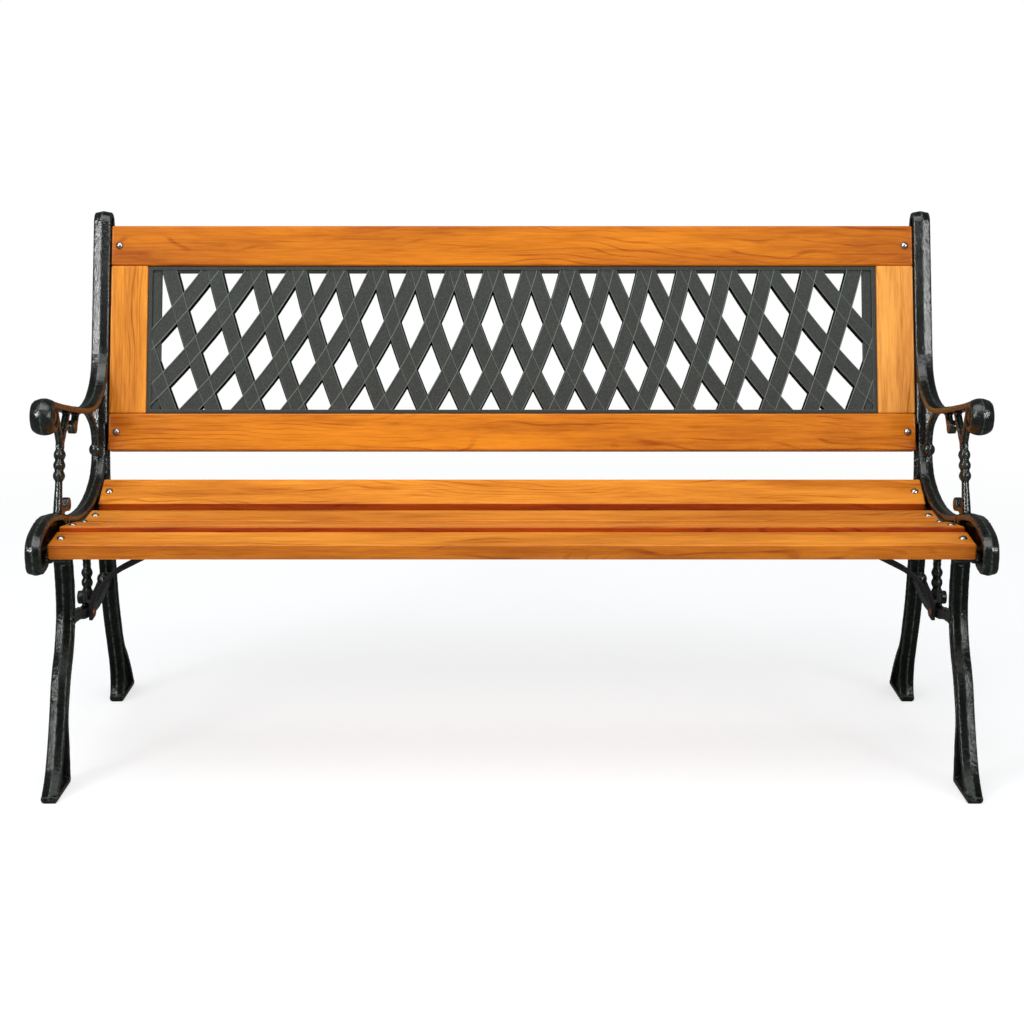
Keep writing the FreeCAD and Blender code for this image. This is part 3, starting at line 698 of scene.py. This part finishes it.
def joined(target, bm, matrix=None):
    """Adds one bmesh to another through a scratch mesh."""
    scratch = bpy.data.meshes.new("scratch")
    if matrix:
        bmesh.ops.transform(bm, matrix=matrix, verts=bm.verts)
        bmesh.ops.recalc_face_normals(bm, faces=bm.faces)
    bm.to_mesh(scratch)
    bm.free()
    target.from_mesh(scratch)
    bpy.data.meshes.remove(scratch)


def strip_section(half, front, thickness, edge, draft):
    """Outline across a strip: a chamfered front, and sides that widen to the back."""
    back = front - thickness
    face = half - draft
    return [(edge - face, front), (face - edge, front), (face, front - edge), (half, back), (-half, back),
            (-face, front - edge)]


def line_section(away, front, width, height, sunk=0.003):
    """Outline across a raised line that is sunk into the strips under it."""
    half = width / 2
    return [(away - half, front + height), (away + half, front + height), (away + half, front - sunk),
            (away - half, front - sunk)]


def ring(outer, inner, front, thickness, chamfer):
    """A flat frame between two rectangles of (left, low, right, high), with its edges chamfered."""
    bm = bmesh.new()
    loops = []
    for left, low, right, high in (outer, inner):
        outline = (left, low), (right, low), (right, high), (left, high)
        corners = [bm.verts.new((*corner, front)) for corner in outline]
        loops += [bm.edges.new((corner, corners[(place + 1) % 4])) for place, corner in enumerate(corners)]
    bmesh.ops.bridge_loops(bm, edges=loops)
    sides = bmesh.ops.extrude_face_region(bm, geom=bm.faces[:])["geom"]
    moved = [part for part in sides if isinstance(part, bmesh.types.BMVert)]
    bmesh.ops.translate(bm, vec=(0, 0, -thickness), verts=moved)
    bmesh.ops.recalc_face_normals(bm, faces=bm.faces)
    rounded(bm, sharp_edges(bm, angle=0.5), chamfer, segments=2)
    return bm


def by_level(bm, flat=0.9, chamfer=0.25):
    """Gives front and back faces, chamfers and sides their finishes, by the z of their normals: chamfers
    turned up get the lighter edge, part wear and part painted highlight, and sides and chamfers turned down
    get painted shade.
    """
    for face in bm.faces:
        if abs(face.normal.z) > flat:
            face.material_index = FLAT_FINISH
        else:
            face.material_index = WORN_AND_LIT_EDGE if face.normal.z > chamfer else PAINTED_SHADE_SIDE
    return bm


def outlined(bm, half, height, margin):
    """The chamfers near the outside of the panel get the finish of the sides, a painted shade line around the
    panel.
    """
    for face in bm.faces:
        spot = face.calc_center_median()
        inside = abs(spot.x) <= half - margin and margin < spot.y < height - margin
        if face.material_index == WORN_AND_LIT_EDGE and not inside:
            face.material_index = PAINTED_SHADE_SIDE
    return bm


def all_edge(bm):
    """Every face gets the finish of the chamfers: lighter, part wear and part painted highlight."""
    for face in bm.faces:
        face.material_index = WORN_AND_LIT_EDGE
    return bm


class BENCH_OT_lattice(bpy.types.Operator):
    """Build the lattice panel: two crossing fans of bowed strips in a raised rim"""

    bl_idname = "bench.lattice"
    bl_label = "Lattice panel"

    def execute(self, context):
        sizes = context.scene.bench_sizes
        colours = context.scene.bench_colours
        space, half, height = panel_space()
        rim, mid_rim = sizes.rim_width, sizes.rim_width / 2

        # Room around the panel, levels from the front of the wood, and how far the ledge reaches past the rim
        gap = 0.0003
        rim_front, strip_front, ledge_front = -0.003, -0.0045, -0.007
        rim_thickness, ledge_thickness = 0.013, 0.009
        side_ledge, top_ledge, low_ledge = 0.013, 0.003, -0.001
        line_place = sizes.strip_width / 2 - sizes.strip_draft

        bm = bmesh.new()
        for family, matrix in ((0, None), (1, MIRROR)):
            section = strip_section(sizes.strip_width / 2, strip_front - family * sizes.strip_step,
                                    sizes.strip_thickness, sizes.strip_edge, sizes.strip_draft)
            lines = [line_section(side * line_place, strip_front, sizes.line_width, sizes.line_height)
                     for side in (-1, 1)]
            for count in range(STRIP_COUNT):
                centre, top, foot = strip_bend(sizes, FIRST_STRIP + count, height)
                bars = [by_level(bent_bar(section, centre, top, foot))]
                if family:
                    bars += [all_edge(bent_bar(line, centre, top, foot)) for line in lines]
                for bar in bars:
                    trim(bar, half - mid_rim, mid_rim, height - mid_rim)
                    joined(bm, bar, matrix)
        outside = (gap - half, gap, half - gap, height - gap)
        inside = (-half + rim, rim, half - rim, height - rim)
        frame_ring = by_level(ring(outside, inside, rim_front, rim_thickness, sizes.rim_round))
        joined(bm, outlined(frame_ring, half, height, mid_rim))
        under_rim = (-half + mid_rim, mid_rim, half - mid_rim, height - mid_rim)
        ledge = (-half + rim + side_ledge, rim + low_ledge, half - rim - side_ledge, height - rim - top_ledge)
        joined(bm, by_level(ring(under_rim, ledge, ledge_front, ledge_thickness, sizes.rim_round)))
        bmesh.ops.transform(bm, matrix=space, verts=bm.verts)
        # The edge finish is part wear and part painted highlight; the side finish is painted shade
        finishes = [
            dull("Lattice front", colours.lattice, colours.lattice_edge_wear_and_highlight, amount=0.24, rough=0.6, bump=0.0003,
                 specular=0.2),
            dull("Lattice edge, worn and lit", colours.lattice_edge_wear_and_highlight, colours.lattice, amount=0.35, rough=0.45, bump=0.0001,
                 specular=0.4),
            dull("Lattice side shade", colours.lattice_side_shade, colours.lattice, amount=0.10, rough=0.6, bump=0.0001,
                 specular=0.2),
        ]
        piece = shown("lattice", bm, ["lattice_panel"], finishes)
        piece.data.set_sharp_from_angle(angle=math.radians(25))
        return {"FINISHED"}


# Fasteners, along -z from the seat of the head

def dome_bolt(sizes, lip=0.0005, chamfer=0.0005, arc_steps=6, turn_steps=28):
    """A dome head with a thin lip, on a plain shank with a chamfered tip."""
    rim, shank = sizes.bolt_head / 2, sizes.bolt_shank / 2
    crown = sizes.bolt_dome - lip
    dome = (rim ** 2 + crown ** 2) / (2 * crown)
    sweep = math.asin(rim / dome)
    angles = [sweep * part / arc_steps for part in range(arc_steps + 1)]
    profile = [(dome * math.sin(angle), lip + crown - dome + dome * math.cos(angle)) for angle in angles]
    profile += [(rim, 0), (shank, 0), (shank, chamfer - sizes.bolt_reach),
                (shank - chamfer, -sizes.bolt_reach), (0, -sizes.bolt_reach)]
    bm = bmesh.new()
    verts = [bm.verts.new((away, 0, level)) for away, level in profile]
    edges = [bm.edges.new(pair) for pair in zip(verts, verts[1:])]
    bmesh.ops.spin(bm, geom=verts + edges, cent=(0, 0, 0), axis=(0, 0, 1), angle=2 * math.pi,
                   steps=turn_steps, use_merge=True)
    bmesh.ops.remove_doubles(bm, verts=bm.verts, dist=1e-6)
    bmesh.ops.recalc_face_normals(bm, faces=bm.faces)
    return bm


class BENCH_OT_bolts(bpy.types.Operator):
    """Build the dome-headed bolts at the ends of the boards"""

    bl_idname = "bench.bolts"
    bl_label = "Dome bolts"

    def execute(self, context):
        sizes = context.scene.bench_sizes
        colours = context.scene.bench_colours
        steel = metal("Bright steel", colours.steel, colours.steel_speck, amount=0.25, rough=0.30)
        for name, node, start in (("seat_bolts", "seat_slat_bolts", "seat_slat"),
                                  ("back_bolts", "backrest_bolts", "backrest")):
            bm = bmesh.new()
            for board in BOARDS:
                if not board.startswith(start) or board.endswith("stile"):
                    continue
                space, size = board_space(board)
                for side in (-1, 1):
                    seat = Matrix.Translation((side * (size.x / 2 - sizes.bolt_inset), 0, size.z / 2))
                    joined(bm, dome_bolt(sizes), space @ seat)
            piece = shown(name, bm, [node], [steel])
            piece.data.set_sharp_from_angle(angle=math.radians(40))
        return {"FINISHED"}


class BENCH_OT_straps(bpy.types.Operator):
    """Build the two strap braces with eased edges"""

    bl_idname = "bench.straps"
    bl_label = "Strap braces"

    def execute(self, context):
        sizes = context.scene.bench_sizes
        colours = context.scene.bench_colours
        paint = dull("Strap paint", colours.strap, colours.iron_worn, amount=0.10, rough=0.42, bump=0.0002,
                     specular=0.4)
        for side in ("left", "right"):
            node = "seat_brace_" + side
            bm = cad_copy(node)
            rounded(bm, sharp_edges(bm, math.radians(40)), sizes.strap_round, segments=2)
            even_normals(shown("strap_" + side, bm, [node], [paint]))
        return {"FINISHED"}


class BENCH_OT_fasteners(bpy.types.Operator):
    """Give the nuts, washers, screws, dowels and strap bolts of the frame their finishes"""

    bl_idname = "bench.fasteners"
    bl_label = "Nuts, washers, screws and dowels"

    def execute(self, context):
        colours = context.scene.bench_colours
        # Near-black nuts, washers and screws: painted shade for the dark under the boards
        steel = dull("Steel dark as in shade", colours.steel_dark_as_shade, colours.black_speck, amount=0.3, rough=0.5,
                     bump=0.00004, specular=0.3)
        copper = metal("Copper bolt", colours.copper, colours.copper_speck, amount=0.35, rough=0.34)
        bare = dull("Bare dowel", colours.bare_wood, colours.bare_speck, amount=0.3, rough=0.7, bump=0.0001,
                    specular=0.3)
        finishes = {
            "seat_slat_nuts": steel,
            "seat_slat_washers": steel,
            "backrest_nuts": steel,
            "backrest_washers": steel,
            "seat_brace_nuts": steel,
            "seat_brace_washers": steel,
            "seat_brace_screws": steel,
            "seat_brace_bolts": copper,
            "stile_dowels": bare,
        }
        for node, finish in finishes.items():
            mesh = frame["nodes"][node].data
            mesh.materials.clear()
            mesh.materials.append(finish)
        return {"FINISHED"}


# Studio

def light(name, place, aim, size, power, only_gloss=False):
    """A soft rectangular lamp; with only_gloss it shows in reflections and lights nothing else."""
    lamp = bpy.data.lights.new(name, "AREA")
    lamp.shape = "RECTANGLE"
    lamp.size, lamp.size_y = size
    lamp.energy = power
    stand = bpy.data.objects.new(name, lamp)
    stand.location = place
    stand.rotation_euler = (Vector(aim) - Vector(place)).to_track_quat("-Z", "Y").to_euler()
    stand.visible_diffuse = not only_gloss
    bpy.context.scene.collection.objects.link(stand)


def seen_directly(tree):
    """1 for rays that show the studio itself, from the camera or through clear pieces."""
    path = add(tree, "ShaderNodeLightPath").outputs
    return math_node(tree, "MAXIMUM", path["Is Camera Ray"], path["Is Transmission Ray"])


def floor_finish(base, shaded, near=1.0, distant=2.6, glow_near=0.64, gloss_gain=0.2):
    """A floor that fades to white away from the bench, and that reflections see darker."""
    material = bpy.data.materials.new("Studio floor")
    material.use_nodes = True
    tree = material.node_tree
    tree.nodes.clear()
    end = add(tree, "ShaderNodeOutputMaterial")
    spot = add(tree, "ShaderNodeTexCoord").outputs["Object"]
    away = add(tree, "ShaderNodeVectorMath", {0: spot}, operation="LENGTH").outputs["Value"]
    gloss = add(tree, "ShaderNodeLightPath").outputs["Is Glossy Ray"]
    plain_colour = mix(tree, gloss, rgba(base), rgba(base, gloss_gain))
    plain = add(tree, "ShaderNodeBsdfDiffuse", {"Color": plain_colour})
    shade_colour = mix(tree, ramp(tree, away, near, distant), rgba(shaded), (0, 0, 0, 1))
    shade = add(tree, "ShaderNodeBsdfDiffuse", {"Color": shade_colour})
    strength = ramp(tree, away, near, distant, glow_near, 1.0)
    glow = add(tree, "ShaderNodeEmission", {"Color": (1, 1, 1, 1), "Strength": strength})
    lit = add(tree, "ShaderNodeAddShader", {0: shade.outputs[0], 1: glow.outputs[0]})
    both = add(tree, "ShaderNodeMixShader", {0: seen_directly(tree), 1: plain.outputs[0], 2: lit.outputs[0]})
    tree.links.new(both.outputs[0], end.inputs["Surface"])
    return material


def studio_world(level, gloss_level):
    """White to the camera; the bench gets an even level of light and a lower one in reflections."""
    world = bpy.data.worlds.new("Studio")
    world.use_nodes = True
    tree = world.node_tree
    back = tree.nodes["Background"]
    back.inputs["Color"].default_value = (1, 1, 1, 1)
    gloss = add(tree, "ShaderNodeLightPath").outputs["Is Glossy Ray"]
    unseen = ramp(tree, gloss, 0, 1, level, gloss_level)
    tree.links.new(math_node(tree, "MAXIMUM", unseen, seen_directly(tree)), back.inputs["Strength"])
    return world


class BENCH_OT_stage(bpy.types.Operator):
    """Set up the pale floor, the soft light and the camera"""

    bl_idname = "bench.stage"
    bl_label = "Stage"

    def execute(self, context):
        scene = context.scene
        colours = scene.bench_colours
        floor_half = 60
        bm = bmesh.new()
        bmesh.ops.create_grid(bm, x_segments=1, y_segments=1, size=floor_half)
        mesh = bpy.data.meshes.new("floor")
        bm.to_mesh(mesh)
        bm.free()
        mesh.materials.append(floor_finish(colours.floor, colours.floor_shade))
        floor = bpy.data.objects.new("floor", mesh)
        scene.collection.objects.link(floor)
        scene.world = studio_world(level=0.42, gloss_level=0.10)

        # Lamps: place, what they aim at, width and height, watts
        light("overhead", (-0.3, -0.9, 2.7), (0, 0, 0.3), (2.6, 1.8), 46)
        light("front_left", (-2.3, -2.6, 1.9), (-0.1, 0, 0.4), (0.8, 1.0), 27)
        light("front_right", (2.3, -2.6, 1.8), (0.1, 0, 0.4), (0.8, 1.0), 19)
        light("glint_left", (-2.4, -2.5, 2.0), (-0.5, 0, 0.4), (0.45, 0.9), 40, only_gloss=True)
        light("glint_right", (2.4, -2.5, 2.0), (0.5, 0, 0.4), (0.45, 0.9), 34, only_gloss=True)

        camera = bpy.data.objects.new("camera", bpy.data.cameras.new("camera"))
        camera.location = (0, -2.530, 0.8815)
        tilt_down = 12.25
        camera.rotation_euler = (math.radians(90 - tilt_down), 0, 0)
        camera.data.sensor_width = 36
        camera.data.lens = 65.9
        scene.collection.objects.link(camera)
        scene.camera = camera
        scene.view_settings.view_transform = "Standard"
        return {"FINISHED"}


class BENCH_PT_panel(bpy.types.Panel):
    """Lists the bench's builders, sizes and colours"""

    bl_idname = "BENCH_PT_panel"
    bl_label = "Garden Bench"
    bl_space_type = "VIEW_3D"
    bl_region_type = "UI"
    bl_category = "Bench"

    def draw(self, context):
        for operator in OPERATORS:
            self.layout.operator(operator.bl_idname)
        for group in (context.scene.bench_sizes, context.scene.bench_colours):
            column = self.layout.column()
            for name in group.__annotations__:
                column.prop(group, name)


OPERATORS = (BENCH_OT_castings, BENCH_OT_boards, BENCH_OT_lattice, BENCH_OT_bolts, BENCH_OT_straps,
             BENCH_OT_fasteners, BENCH_OT_stage)
CLASSES = (BenchSizes, BenchColours, *OPERATORS, BENCH_PT_panel)


def register():
    for item in CLASSES:
        bpy.utils.register_class(item)
    bpy.types.Scene.bench_sizes = bpy.props.PointerProperty(type=BenchSizes)
    bpy.types.Scene.bench_colours = bpy.props.PointerProperty(type=BenchColours)


def unregister():
    del bpy.types.Scene.bench_sizes
    del bpy.types.Scene.bench_colours
    for item in reversed(CLASSES):
        bpy.utils.unregister_class(item)


def main():
    register()
    bpy.ops.bench.castings()
    bpy.ops.bench.boards()
    bpy.ops.bench.lattice()
    bpy.ops.bench.bolts()
    bpy.ops.bench.straps()
    bpy.ops.bench.fasteners()
    bpy.ops.bench.stage()
    bpy.context.view_layer.update()


if __name__ == "__main__":
    main()
